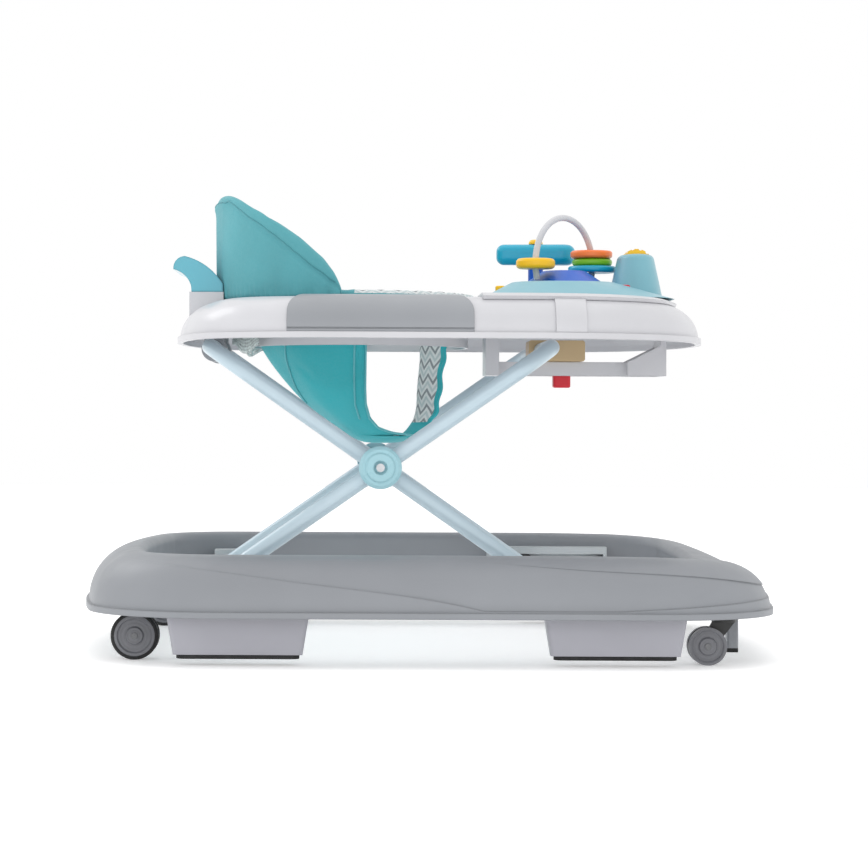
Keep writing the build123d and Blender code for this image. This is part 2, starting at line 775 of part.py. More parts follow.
# Upper ring: swept skin, top plate round the seat hole, hole wall and the handle's socket
rim_inner = (seat_half_length - rim_inset, seat_half_width - rim_inset)
rim_outer = (rim_inner[0] + rim_width, rim_inner[1] + rim_width)
back_inner = (rim_outer[0] + backrest_gap, rim_outer[1] + backrest_gap)
back_outer = (back_inner[0] + backrest_thickness, back_inner[1] + backrest_thickness)
socket_top = ring_top_z + socket_height
socket_floor = ring_lip_z + socket_rise
with BuildPart() as top_ring:
    sweep(channel_section(rear_tip(ring_plan), ring_lip_z, ring_top_z, ring_roll), path=outline(ring_plan))
    extrude(plan_face(ring_plan, ring_roll, ring_top_z - wall), amount=wall)
    side_box(handle_rear_x - socket_edge, seat_x - back_inner[0], socket_floor, socket_top,
             -handle_half_width - socket_edge, handle_half_width + socket_edge)
    extrude(oval(seat_x, back_outer[0] + slip, back_outer[1] + slip, ring_top_z), amount=socket_height,
            mode=Mode.SUBTRACT)
    extrude(oval(seat_x, seat_half_length + wall, seat_half_width + wall, ring_skirt_z),
            amount=ring_top_z - ring_skirt_z)
    extrude(oval(seat_x, seat_half_length, seat_half_width, ring_skirt_z), amount=ring_top_z - ring_skirt_z,
            mode=Mode.SUBTRACT)
save(top_ring, "top_ring")

# Grey side panels on the ring's outer wall, with round top corners and a groove along the foot
for side, hand in ((-1, "right"), (1, "left")):
    with BuildPart() as side_panel:
        sweep(ring_skin(slip / 2, skin, 90), path=outline(ring_plan))
        with BuildSketch(Plane.XZ) as panel_side:
            with BuildLine():
                Polyline((panel_rear_x, ring_top_z + skin), (panel_rear_x, panel_bottom_z),
                         (panel_front_x, panel_bottom_z), (panel_front_x, ring_top_z + skin), close=True)
            make_face()
            fillet(panel_side.vertices().group_by(Axis.Y)[-1], radius=panel_corner)
        extrude(panel_side.sketch, amount=-side * ring_half_width * 2, mode=Mode.INTERSECT)
        with BuildPart(mode=Mode.PRIVATE) as groove:
            sweep(ring_skin(skin / 2, 2 * skin, 90), path=outline(ring_plan))
            side_box(panel_rear_x, panel_front_x, panel_bottom_z + groove_lift,
                     panel_bottom_z + groove_lift + groove_width, -ring_half_width, ring_half_width,
                     mode=Mode.INTERSECT)
        add(groove.part, mode=Mode.SUBTRACT)
    save(side_panel, f"side_panel_{hand}")

# Clamps under the ring that hold the inner frame's crossbar
with BuildPart() as rear_clamps:
    rod(*rear_head, tube_r + clamp_wall, clamp_y - clamp_half, clamp_y + clamp_half)
    side_box(rear_head[0] - clamp_half, rear_head[0] + clamp_half, rear_head[1], socket_floor,
             clamp_y - clamp_half, clamp_y + clamp_half)
    rod(*rear_head, tube_r + running, clamp_y - clamp_half, clamp_y + clamp_half, mode=Mode.SUBTRACT)
    mirror(about=Plane.XZ)
save(rear_clamps, "rear_clamps")

# Height adjuster: a slotted rail hung under the ring's front
rail_top_z = rail_bottom_z + rail_height
with BuildPart() as adjuster_rail:
    for side in (-1, 1):
        low, high = sorted((side * rail_gap / 2, side * (rail_gap / 2 + rail_plate)))
        side_box(rail_rear_x, rail_front_x, rail_bottom_z, rail_top_z, low, high)
        rib_low, rib_high = sorted((side * rail_half_width, side * (rail_half_width - wall)))
        with BuildSketch(Plane.XZ.offset(-rib_high)) as gusset:
            with BuildLine():
                Polyline((rail_front_x, rail_bottom_z), (rail_front_x, rail_top_z + gusset_height),
                         (rail_front_x - rail_front_post, rail_top_z + gusset_height),
                         (rail_front_x - gusset_length, rail_top_z),
                         (rail_front_x - gusset_length, rail_bottom_z), close=True)
            make_face()
        extrude(gusset.sketch, amount=rib_high - rib_low)
    side_box(rail_rear_x, rail_rear_x + rail_rear_post, rail_bottom_z, ring_top_z - wall, -rail_half_width,
             rail_half_width)
    side_box(rail_front_x - rail_front_post, rail_front_x, rail_bottom_z, ring_top_z - wall,
             -rail_half_width, rail_half_width)
    add(top_ring.part, mode=Mode.SUBTRACT)
save(adjuster_rail, "adjuster_rail")

# Height slider on the outer frame's crossbar, with the release button in its tongue
tongue_bottom_z = rail_bottom_z + button_travel + 2 * slip + button_lap
button_x = front_head[0] + slider_front / 2
with BuildPart() as height_slider:
    side_box(front_head[0] - slider_rear, front_head[0] + slider_front, rail_top_z + slide_play,
             front_head[1] + tube_r + wall, -slider_half_width, slider_half_width)
    fillet(height_slider.edges().filter_by(Axis.Y), radius=wall)
    side_box(button_x - button_size / 2, button_x + button_size / 2, tongue_bottom_z, rail_top_z + wall,
             -rail_gap / 2 + slide_play, rail_gap / 2 - slide_play)
    rod(*front_head, tube_r + running, -slider_half_width, slider_half_width, mode=Mode.SUBTRACT)
    with BuildSketch(Plane.XY.offset(tongue_bottom_z)):
        with Locations((button_x, 0)):
            Circle(button_stem_d / 2 + slip)
    extrude(amount=rail_height + button_travel, mode=Mode.SUBTRACT)
save(height_slider, "height_slider")

button_top_z = tongue_bottom_z - button_travel - slip
with BuildPart() as release_button:
    with BuildSketch(Plane.XY.offset(button_top_z - button_reach)):
        with Locations((button_x, 0)):
            RectangleRounded(button_size, button_size, wall)
    extrude(amount=button_reach)
    fillet(release_button.faces().sort_by(Axis.Z)[0].edges(), radius=skin)
    with BuildSketch(Plane.XY.offset(button_top_z)):
        with Locations((button_x, 0)):
            Circle(button_stem_d / 2)
    extrude(amount=rail_height)
save(release_button, "release_button")

# Push handle: a curled grip, hollowed at the front to follow the backrest
grip = [(handle_rear_x + x, socket_top + z) for x, z in grip_points]
with BuildPart() as push_handle:
    with BuildSketch(Plane.XZ):
        with BuildLine():
            Polyline(grip[6], (handle_rear_x, socket_top), grip[0])
            ThreePointArc(*grip[0:3])
            ThreePointArc(*grip[2:5])
            ThreePointArc(*grip[4:7])
        make_face()
    extrude(amount=handle_half_width, both=True)
    extrude(oval(seat_x, back_outer[0] + slip, back_outer[1] + slip, socket_top), amount=2 * backrest_top_z,
            mode=Mode.SUBTRACT)
save(push_handle, "push_handle")

# Backrest: a padded half ring, cut to a fin in side view
back_foot_z = ring_top_z + slip
back_rear_x = seat_x - back_outer[0]
back_front_z = back_foot_z + backrest_crown + 1
fin_slope = (fin_slope_x, -fin_slope_share * (backrest_top_z - back_front_z))
fin = [(back_rear_x + x, backrest_top_z + z) for x, z in (fin_rear, fin_peak, fin_slope)]
with BuildPart() as backrest:
    extrude(oval(seat_x, *back_outer, back_foot_z), amount=backrest_top_z)
    extrude(oval(seat_x, *back_inner, back_foot_z), amount=backrest_top_z, mode=Mode.SUBTRACT)
    with BuildSketch(Plane.XZ):
        with BuildLine():
            Polyline((backrest_front_x, back_front_z), (backrest_front_x, back_foot_z),
                     (fin[0][0], back_foot_z), fin[0])
            Spline(*fin, (backrest_front_x, back_front_z))
        make_face()
    extrude(amount=2 * back_outer[1], both=True, mode=Mode.INTERSECT)
    upper = [edge for edge in backrest.edges() if edge.center().Z > back_front_z]
    crown = [edge for edge in upper if edge.length > 2 * seat_half_length]
    fillet(crown, radius=backrest_crown)
save(backrest, "backrest")

# Fabric rim round the seat hole
with BuildPart() as seat_rim:
    extrude(oval(seat_x, *rim_outer, ring_top_z), amount=rim_height)
    extrude(oval(seat_x, *rim_inner, ring_top_z), amount=rim_height, mode=Mode.SUBTRACT)
    fillet(seat_rim.faces().sort_by(Axis.Z)[-1].edges(), radius=rim_height / 2)
save(seat_rim, "seat_rim")

# Seat sling: a cloth bucket, open in front of its hem, and a strap bowed back in its middle
sling_top = (rim_inner[0] - slide_play, rim_inner[1] - slide_play)
sling_rows = [
    (ring_top_z + skin, seat_x, *sling_top),
    (ring_lip_z + wall, seat_x - 3, sling_top[0] - 9, sling_top[1] - 8),
    (sling_bottom_z + 45, seat_x + 15, 72.0, 88.0),
    (sling_bottom_z + 8, seat_x + 29, 38.0, 52.0),
    (sling_bottom_z, seat_x + 27, *sling_floor),
]
strap_rows = [
    (ring_top_z, 29.0, 31.0, 46.0),
    (ring_top_z - 20, 8.0, 27.0, 47.0),
    (ring_lip_z + wall, -10.5, 23.0, 46.0),
    (sling_bottom_z + 60, -12.0, 16.0, 43.0),
    (sling_bottom_z + 32, -15.0, 10.5, 37.0),
    (sling_bottom_z + 14, -24.0, 0.0, 30.0),
    (sling_bottom_z + 5, -36.0, -18.0, 22.0),
]


def strap_section(z, middle_x, edge_x, half):
    """A band of cloth across the walker, its middle further back than its edges."""
    with BuildSketch(Plane.XY.offset(z)) as section:
        with BuildLine():
            back = ThreePointArc((edge_x, -half), (middle_x, 0), (edge_x, half))
            front = ThreePointArc((edge_x + cloth, -half), (middle_x + cloth, 0), (edge_x + cloth, half))
            Line(back @ 0, front @ 0)
            Line(back @ 1, front @ 1)
        make_face()
    return section.sketch.face()


with BuildPart() as seat_sling:
    loft([oval(x, length, width, z).face() for z, x, length, width in sling_rows])
    inner_rows = [(z, x, length - cloth, width - cloth) for z, x, length, width in sling_rows[:-1]]
    inner_rows[0] = (sling_rows[0][0] + 1, *inner_rows[0][1:])
    loft([oval(x, length, width, z).face() for z, x, length, width in inner_rows], mode=Mode.SUBTRACT)
    with BuildSketch(Plane.XZ) as opening:
        with BuildLine():
            FilletPolyline((hem_x, ring_top_z - hem_band), (hem_x, hem_bottom_z),
                           (seat_half_length, hem_bottom_z), radius=hem_bend)
            Polyline((seat_half_length, hem_bottom_z), (seat_half_length, ring_top_z - hem_band),
                     (hem_x, ring_top_z - hem_band))
        make_face()
    extrude(opening.sketch, amount=2 * seat_half_width, both=True, mode=Mode.SUBTRACT)
    loft([strap_section(*row) for row in strap_rows])
save(seat_sling, "seat_sling")

# Play tray: a white plate that hugs the ring's shoulder, with clips down its sides
tray_top_z = ring_top_z + tray_thickness
seat_clear = (rim_outer[0] + tray_gap, rim_outer[1] + tray_gap)
with BuildPart() as tray_plate:
    sweep(ring_skin(slip, tray_thickness, tray_wrap), path=outline(ring_plan))
    extrude(plan_face(ring_plan, ring_roll, ring_top_z + slip), amount=tray_thickness - slip)
    side_box(tray_rear_x, ring_front, ring_lip_z, tray_top_z, -ring_half_width, ring_half_width,
             mode=Mode.INTERSECT)
    extrude(oval(seat_x, *seat_clear, ring_top_z), amount=2 * tray_thickness, mode=Mode.SUBTRACT)
save(tray_plate, "tray_plate")

with BuildPart() as tray_clips:
    sweep(ring_skin(slip / 2, skin, 90), path=outline(ring_plan))
    side_box(clip_rear_x, clip_front_x, ring_lip_z, tray_top_z, -ring_half_width, ring_half_width,
             mode=Mode.INTERSECT)
    add(tray_plate.part, mode=Mode.SUBTRACT)
save(tray_clips, "tray_clips")


def dome_section(rear_x, front_x, half_width, corner, z):
    """A rounded rectangle in plan, at a height."""
    with BuildSketch(Plane.XY.offset(z)) as face:
        with Locations(((rear_x + front_x) / 2, 0)):
            RectangleRounded(front_x - rear_x, 2 * half_width, corner)
    return face.sketch.face()


def dome_height_at(x):
    """Height of the tray top's sloping front or rear face."""
    run = dome_front_x - dome_top_front_x if x > dome_top_front_x else dome_top_rear_x - dome_rear_x
    into = dome_front_x - x if x > dome_top_front_x else x - dome_rear_x
    return tray_top_z + dome_height * min(into / run, 1)


# Aqua tray top: a hollow moulding with a mound that holds the roller
dome_top_z = tray_top_z + dome_height
roller_r = roller_d / 2
roller_z = mound_top_z + wall * 2 - roller_r
roller_slot = roller_width / 2 + slip
with BuildPart() as tray_top:
    loft([dome_section(dome_rear_x, dome_front_x, dome_half_width, dome_corner, tray_top_z),
          dome_section(dome_top_rear_x, dome_top_front_x, dome_top_half_width, dome_corner - dome_height,
                       dome_top_z)])
    fillet(tray_top.faces().sort_by(Axis.Z)[-1].edges(), radius=dome_crown)
    loft([oval(mound_x, *mound_foot, tray_top_z).face(), oval(mound_x, *mound_crown, mound_top_z).face()])
    fillet(tray_top.faces().sort_by(Axis.Z)[-1].edges(), radius=mound_round)
    loft([dome_section(dome_rear_x + wall, dome_front_x - wall, dome_half_width - wall, dome_corner - wall,
                       tray_top_z),
          dome_section(dome_top_rear_x + wall, dome_top_front_x - wall, dome_top_half_width - wall,
                       dome_corner - dome_height - wall, dome_top_z - wall)], mode=Mode.SUBTRACT)
    extrude(oval(seat_x, *seat_clear, tray_top_z), amount=2 * dome_height, mode=Mode.SUBTRACT)
    rod(mound_x, roller_z, roller_r + 2 * slip, -roller_slot, roller_slot, mode=Mode.SUBTRACT)
    rod(mound_x, roller_z, roller_axle_r + running, -roller_width, roller_width, mode=Mode.SUBTRACT)
    for place in (red_push_at, yellow_push_at):
        with BuildSketch(Plane.XY.offset(tray_top_z)) as push_hole:
            with Locations(place):
                Circle(push_d / 2 + slip)
        extrude(push_hole.sketch, amount=2 * dome_height, mode=Mode.SUBTRACT)
save(tray_top, "tray_top")

with BuildPart() as roller_axle:
    rod(mound_x, roller_z, roller_axle_r, -roller_width + 1, roller_width - 1)
save(roller_axle, "roller_axle")

with BuildPart() as toy_roller:
    rod(mound_x, roller_z, roller_r, -roller_width / 2, roller_width / 2)
    with BuildSketch(Plane.XZ.offset(-roller_width / 2)) as grooves:
        with Locations((mound_x, roller_z)):
            with PolarLocations(roller_r + rib_r - rib_depth, rib_count):
                Circle(rib_r)
    extrude(grooves.sketch, amount=roller_width, mode=Mode.SUBTRACT)
    rod(mound_x, roller_z, roller_axle_r + running, -roller_width, roller_width, mode=Mode.SUBTRACT)
save(toy_roller, "toy_roller")

for name, place in (("red_push_button", red_push_at), ("yellow_push_button", yellow_push_at)):
    crown_z = dome_height_at(place[0]) + push_proud
    with BuildPart() as push_button:
        with BuildSketch(Plane.XY.offset(crown_z - push_depth)):
            with Locations(place):
                Circle(push_d / 2)
        extrude(amount=push_depth)
        fillet(push_button.faces().sort_by(Axis.Z)[-1].edges(), radius=push_proud / 2)
    save(push_button, name)

# Blue dome with the bead arch over it
toy_dome_top_z = dome_top_z + toy_dome_height
with BuildPart() as toy_dome:
    loft([oval(arch_x, *toy_dome_foot, dome_top_z).face(),
          oval(arch_x, *toy_dome_crown, toy_dome_top_z).face()])
    fillet(toy_dome.faces().sort_by(Axis.Z)[-1].edges(), radius=toy_dome_round)
save(toy_dome, "toy_dome")

arch_z = dome_top_z + arch_rise
turn = radians(arch_turn)
arch_plane = Plane(origin=(arch_x, 0, arch_z), x_dir=(cos(turn), sin(turn), 0),
                   z_dir=(sin(turn), -cos(turn), 0))
with BuildPart() as toy_arch:
    with BuildLine(arch_plane) as arc:
        CenterArc((0, 0), arch_r, -arch_overrun, 180 + 2 * arch_overrun)
    with BuildSketch(Plane(origin=arc.wire() @ 0, z_dir=arc.wire() % 0)) as section:
        Circle(arch_d / 2)
    sweep(section.sketch, path=arc.wire())
    add(toy_dome.part, mode=Mode.SUBTRACT)
    add(tray_top.part, mode=Mode.SUBTRACT)
save(toy_arch, "toy_arch")


def bead(height, radius, thickness, foot):
    """A round bead threaded flat on one foot of the arch, with its lower face at a height."""
    middle_z = height + thickness / 2
    out = foot * sqrt(arch_r ** 2 - (middle_z - arch_z) ** 2)
    place = (arch_x + out * cos(turn), out * sin(turn))
    with BuildSketch(Plane.XY.offset(height)) as face:
        with Locations(place):
            Circle(radius)
    extrude(face.sketch, amount=thickness)
    return place


bead_z = toy_dome_top_z + bead_gap
for name, radius, thickness in stacked_beads:
    with BuildPart() as stacked_bead:
        place = bead(bead_z, radius, thickness, 1)
        fillet(stacked_bead.edges(), radius=bead_round)
        with BuildSketch(Plane.XY.offset(bead_z)):
            with Locations(place):
                Circle(bead_hole_r)
        extrude(amount=thickness, mode=Mode.SUBTRACT)
    save(stacked_bead, name)
    bead_z += thickness + bead_gap

with BuildPart() as bead_yellow:
    place = bead(toy_dome_top_z + bead_gap, yellow_r, yellow_thickness, -1)
    fillet(bead_yellow.edges(), radius=yellow_round)
    with BuildSketch(Plane.XY.offset(toy_dome_top_z)):
        with Locations(place):
            Circle(arch_d / 2 + 2 * slip)
    extrude(amount=2 * yellow_thickness, mode=Mode.SUBTRACT)
save(bead_yellow, "bead_yellow")

# Spinner on its post, with a round knob on top
spinner_z = dome_top_z + spinner_lift
spinner_at = (spinner_x, spinner_y)
with BuildPart() as spinner_post:
    with BuildSketch(Plane.XY.offset(dome_top_z)):
        with Locations(spinner_at):
            Circle(2 * pivot_r)
    extrude(amount=spinner_lift - slip)
    with BuildSketch(Plane.XY.offset(spinner_z - slip)):
        with Locations(spinner_at):
            Circle(pivot_r)
    extrude(amount=spinner_thickness + 2 * slip)
save(spinner_post, "spinner_post")

with BuildPart() as spinner:
    with BuildSketch(Plane.XY.offset(spinner_z)):
        with Locations((spinner_x + spinner_reach - spinner_head, spinner_y)):
            Circle(spinner_head)
        with Locations((spinner_x - spinner_reach + spinner_tail, spinner_y)):
            Circle(spinner_tail)
        make_hull()
    extrude(amount=spinner_thickness)
    fillet(spinner.faces().sort_by(Axis.Z)[-1].edges(), radius=spinner_round)
    fillet(spinner.faces().sort_by(Axis.Z)[0].edges(), radius=spinner_round)
    with BuildSketch(Plane.XY.offset(spinner_z)):
        with Locations(spinner_at):
            Circle(pivot_r + running)
    extrude(amount=spinner_thickness, mode=Mode.SUBTRACT)
save(spinner, "spinner")

knob_z = spinner_z + spinner_thickness + slip
with BuildPart() as spinner_knob:
    with BuildSketch(Plane.XY.offset(knob_z)):
        with Locations(spinner_at):
            Circle(knob_r)
    extrude(amount=knob_height)
    fillet(spinner_knob.faces().sort_by(Axis.Z)[-1].edges(), radius=knob_round)
save(spinner_knob, "spinner_knob")
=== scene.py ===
"""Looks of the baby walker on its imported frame: finishes, padded and hung cloth, camera and light."""
import json
from math import acos, cos, exp, pi, radians, sin, sqrt

import bpy
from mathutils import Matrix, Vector, noise


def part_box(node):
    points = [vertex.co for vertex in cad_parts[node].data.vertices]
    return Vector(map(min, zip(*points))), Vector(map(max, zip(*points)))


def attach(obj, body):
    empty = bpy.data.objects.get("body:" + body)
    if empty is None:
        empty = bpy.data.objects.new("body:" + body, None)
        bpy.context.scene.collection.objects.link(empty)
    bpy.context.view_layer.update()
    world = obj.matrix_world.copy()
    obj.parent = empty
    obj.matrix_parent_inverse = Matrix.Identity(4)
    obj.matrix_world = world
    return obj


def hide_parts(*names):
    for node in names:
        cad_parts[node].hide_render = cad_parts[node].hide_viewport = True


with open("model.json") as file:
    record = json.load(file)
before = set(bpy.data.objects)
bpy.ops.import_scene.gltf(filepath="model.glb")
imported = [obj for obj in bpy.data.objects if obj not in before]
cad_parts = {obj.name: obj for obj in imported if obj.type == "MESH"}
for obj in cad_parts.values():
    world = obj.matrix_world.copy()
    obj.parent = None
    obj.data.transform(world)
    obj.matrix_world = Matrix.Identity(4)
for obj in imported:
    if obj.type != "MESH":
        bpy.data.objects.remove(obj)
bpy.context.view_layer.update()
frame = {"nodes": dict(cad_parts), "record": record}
nodes = frame["nodes"]
MM = 0.001  # The frame is in metres, the outlines of the cloth below are in millimetres.


# Colours and nodes
def linear(colour, tone=1.0):
    """A screen colour, 0 to 255, made lighter or darker by a tone, as linear light with alpha."""
    screen = [min(255, c * tone) for c in colour]
    return tuple(c / 3294.6 if c <= 10 else ((c / 255 + 0.055) / 1.055) ** 2.4 for c in screen) + (1.0,)


class Look:
    """One material and short ways to add nodes to it."""

    def __init__(self, name):
        self.material = bpy.data.materials.new(name)
        self.material.use_nodes = True
        self.tree = self.material.node_tree
        self.shader = self.tree.nodes["Principled BSDF"]
        self.place = self.add("ShaderNodeTexCoord").outputs["Object"]

    def fill(self, target, value):
        """Links a node's input to a socket or sets it to a value."""
        if isinstance(value, bpy.types.NodeSocket):
            self.tree.links.new(value, target)
        else:
            target.default_value = value

    def add(self, kind, inputs=None, **settings):
        """A node with its settings, its inputs linked from sockets or set to values."""
        node = self.tree.nodes.new(kind)
        for key, value in settings.items():
            setattr(node, key, value)
        for key, value in (inputs or {}).items():
            self.fill(node.inputs[key], value)
        return node

    def noise(self, scale, detail=3.0):
        """Noise from 0 to 1 at a scale per metre."""
        inputs = {"Vector": self.place, "Scale": scale, "Detail": detail}
        return self.add("ShaderNodeTexNoise", inputs).outputs["Fac"]

    def ramp(self, factor, *stops, constant=False):
        """Colours or greys at places along a factor."""
        node = self.add("ShaderNodeValToRGB", {"Fac": factor})
        if constant:
            node.color_ramp.interpolation = "CONSTANT"
        elements = node.color_ramp.elements
        while len(elements) < len(stops):
            elements.new(0.5)
        for element, (at, colour) in zip(elements, stops):
            element.position = at
            element.color = colour if hasattr(colour, "__len__") else (colour, colour, colour, 1.0)
        return node.outputs["Color"]

    def tones(self, factor, colour, *stops):
        """Lighter and darker tones of one colour at places along a factor."""
        return self.ramp(factor, *((at, linear(colour, tone)) for at, tone in stops))

    def maths(self, operation, a, b=0.0):
        """One step of arithmetic."""
        return self.add("ShaderNodeMath", {0: a, 1: b}, operation=operation).outputs[0]

    def vector(self, operation, *inputs):
        """The node of one step of vector arithmetic."""
        return self.add("ShaderNodeVectorMath", dict(enumerate(inputs)), operation=operation)

    def mix(self, factor, a, b, blend="MIX"):
        """Two colours mixed."""
        inputs = {0: factor, 6: a, 7: b}
        return self.add("ShaderNodeMix", inputs, data_type="RGBA", blend_type=blend).outputs[2]

    def bump(self, height, distance, strength=1.0, normal=None):
        """A bumped normal from a height."""
        inputs = {"Height": height, "Distance": distance, "Strength": strength}
        if normal:
            inputs["Normal"] = normal
        return self.add("ShaderNodeBump", inputs).outputs["Normal"]

    def feed(self, **inputs):
        """The material, with sockets or values fed into its shader."""
        for key, value in inputs.items():
            self.fill(self.shader.inputs[key.replace("_", " ")], value)
        return self.material


def plastic(name, colour, rough=0.38, edge=0.0012, coat=0.0):
    """Moulded plastic: faint mottling, fine spark grain, soft edges and uneven gloss."""
    look = Look(name)
    grain = look.noise(1400.0, 2.0)
    grain_depth = 0.00004
    tint = look.tones(look.noise(9.0, 4.0), colour, (0.3, 0.965), (0.72, 1.025))
    speck = look.tones(grain, colour, (0.25, 0.985), (0.75, 1.015))
    gloss = look.ramp(look.noise(46.0, 5.0), (0.25, rough - 0.05), (0.8, rough + 0.07))
    soft = look.add("ShaderNodeBevel", {"Radius": edge}, samples=4).outputs["Normal"]
    return look.feed(
        Base_Color=look.mix(0.35, tint, speck),
        Roughness=gloss,
        Normal=look.bump(grain, grain_depth, 1.0, soft),
        Coat_Weight=coat,
        Coat_Roughness=0.12,
    )


def paint(name, colour):
    """Powder-coated tube: orange-peel bump and a clear gloss."""
    look = Look(name)
    peel = look.noise(900.0, 2.0)
    peel_depth = 0.000015
    return look.feed(
        Base_Color=look.tones(look.noise(14.0), colour, (0.3, 0.985), (0.7, 1.01)),
        Roughness=look.ramp(look.noise(30.0, 2.0), (0.3, 0.3), (0.75, 0.36)),
        Normal=look.bump(peel, peel_depth),
        Metallic=0.1,
        Coat_Weight=0.3,
        Coat_Roughness=0.2,
    )


def steel(name, tone=1.0):
    """Turned steel with fine scratches, darker with a lower tone."""
    look = Look(name)
    scratch = look.noise(2400.0, 3.0)
    scratch_depth = 0.00003
    dull, bright = ([tone * c for c in grey] + [1.0] for grey in ((0.42, 0.43, 0.45), (0.6, 0.61, 0.63)))
    return look.feed(
        Base_Color=look.ramp(look.noise(60.0), (0.3, dull), (0.7, bright)),
        Metallic=1.0,
        Roughness=look.ramp(scratch, (0.3, 0.25), (0.7, 0.45)),
        Normal=look.bump(scratch, scratch_depth),
    )


def rubber(name):
    """Dull black rubber with dust in its pores."""
    look = Look(name)
    pores = look.noise(900.0, 3.0)
    pore_depth = 0.00012
    black, dusty = linear((24, 24, 25)), linear((46, 46, 47))
    return look.feed(
        Base_Color=look.ramp(look.noise(70.0, 5.0), (0.35, black), (0.8, dusty)),
        Roughness=look.ramp(pores, (0.3, 0.6), (0.7, 0.82)),
        Normal=look.bump(pores, pore_depth),
    )


WAVE_BAND = 0.314  # Width in metres of one band of the wave texture at a scale of 1


def weave(look, period, flat=None):
    """Height of a plain weave of crossed yarns, on flat coordinates or else across and up the piece."""
    def yarns(direction):
        inputs = {"Vector": flat or look.place, "Scale": WAVE_BAND / period}
        return look.add("ShaderNodeTexWave", inputs, bands_direction=direction).outputs["Fac"]

    if flat:
        return look.maths("MULTIPLY", yarns("X"), yarns("Y"))
    normal = look.add("ShaderNodeTexCoord").outputs["Normal"]
    facing = look.add("ShaderNodeSeparateXYZ", {0: normal}).outputs[0]
    endwise = look.ramp(look.maths("ABSOLUTE", facing), (0.62, 0.0), (0.78, 1.0))
    across = look.mix(endwise, yarns("X"), yarns("Y"))
    return look.maths("MULTIPLY", across, yarns("Z"))


def cloth(name, colour, period=0.0011):
    """Smooth woven polyester: fine weave, slight random changes of tone, painted shade between the yarns,
    soft sheen.
    """
    look = Look(name)
    yarns = weave(look, period)
    yarn_depth = 0.00018
    fuzz = look.noise(420.0, 3.0)
    tint = look.tones(look.noise(16.0, 4.0), colour, (0.28, 0.93), (0.74, 1.05))
    # Painted shade: the cloth's colour is darker down in the hollows between the yarns.
    painted_yarn_shade = look.tones(yarns, colour, (0.0, 0.88), (0.8, 1.04))
    height = look.maths("ADD", look.maths("MULTIPLY", fuzz, 0.5), yarns)
    return look.feed(
        Base_Color=look.mix(0.4, tint, painted_yarn_shade),
        Roughness=look.ramp(fuzz, (0.3, 0.62), (0.7, 0.8)),
        Normal=look.bump(height, yarn_depth, 0.8),
        Sheen_Weight=0.12,
        Sheen_Roughness=0.4,
    )


def chevron(name, colours, width=0.019, height=0.009, stripe=0.0156):
    """Zigzag print on woven cloth, laid by the cloth's own flat coordinates."""
    look = Look(name)
    flat = look.add("ShaderNodeUVMap").outputs["UV"]
    split = look.add("ShaderNodeSeparateXYZ", {0: flat})
    across = look.maths("PINGPONG", split.outputs[0], width / 2)
    lift = look.maths("MULTIPLY", across, 2 * height / width)
    along = look.maths("ADD", split.outputs[1], lift)
    wobble = look.maths("MULTIPLY", look.noise(900.0), 0.0008)
    part = look.maths("FRACT", look.maths("DIVIDE", look.maths("ADD", along, wobble), stripe))
    stops = [(index / len(colours), linear(colour)) for index, colour in enumerate(colours)]
    print_colour = look.ramp(part, *stops, constant=True)
    yarns = weave(look, 0.0011, flat)
    yarn_depth = 0.0002
    shadow = look.ramp(yarns, (0.0, 0.84), (0.7, 1.0))
    worn = look.ramp(look.noise(22.0, 4.0), (0.3, 0.93), (0.7, 1.0))
    return look.feed(
        Base_Color=look.mix(1.0, look.mix(1.0, print_colour, shadow, "MULTIPLY"), worn, "MULTIPLY"),
        Roughness=look.ramp(look.noise(420.0), (0.3, 0.68), (0.7, 0.85)),
        Normal=look.bump(yarns, yarn_depth, 0.8),
        Sheen_Weight=0.1,
        Sheen_Roughness=0.5,
    )


def net(name, colour):
    """Open mesh cloth: holes between the knots."""
    look = Look(name)
    flat = look.add("ShaderNodeUVMap").outputs["UV"]
    inputs = {"Vector": flat, "Scale": 380.0, "Randomness": 0.25}
    cells = look.add("ShaderNodeTexVoronoi", inputs).outputs["Distance"]
    knot_depth = 0.0003
    hole = look.ramp(cells, (0.34, 1.0), (0.46, 0.0))
    return look.feed(
        Base_Color=look.tones(look.noise(200.0), colour, (0.3, 0.9), (0.7, 1.08)),
        Alpha=look.maths("SUBTRACT", 1.0, look.maths("MULTIPLY", hole, 0.75)),
        Roughness=look.ramp(look.noise(600.0), (0.3, 0.6), (0.7, 0.75)),
        Normal=look.bump(cells, knot_depth),
    )


def turned(name, colour, centre, step=0.0034, rough=0.4):
    """Moulded wheel face with fine rings round its axle, and painted shade in the rings' grooves."""
    look = Look(name)
    away = look.vector("SUBTRACT", look.place, centre).outputs[0]
    flat = look.vector("MULTIPLY", away, (1.0, 0.0, 1.0)).outputs[0]
    reach = look.vector("LENGTH", flat).outputs["Value"]
    rings = look.maths("SINE", look.maths("MULTIPLY", reach, 2 * pi / step))
    grain = look.noise(1300.0, 2.0)
    height = look.maths("ADD", look.maths("MULTIPLY", rings, 0.5), look.maths("MULTIPLY", grain, 0.4))
    ring_depth = 0.00012
    tint = look.tones(look.noise(60.0, 4.0), colour, (0.3, 0.94), (0.7, 1.05))
    # Painted shade: the colour is darker in the grooves between the rings.
    line = look.tones(rings, colour, (0.1, 0.9), (0.6, 1.0))
    return look.feed(
        Base_Color=look.mix(0.4, tint, line),
        Roughness=look.ramp(look.noise(90.0, 4.0), (0.3, rough - 0.05), (0.7, rough + 0.08)),
        Normal=look.bump(height, ring_depth),
    )


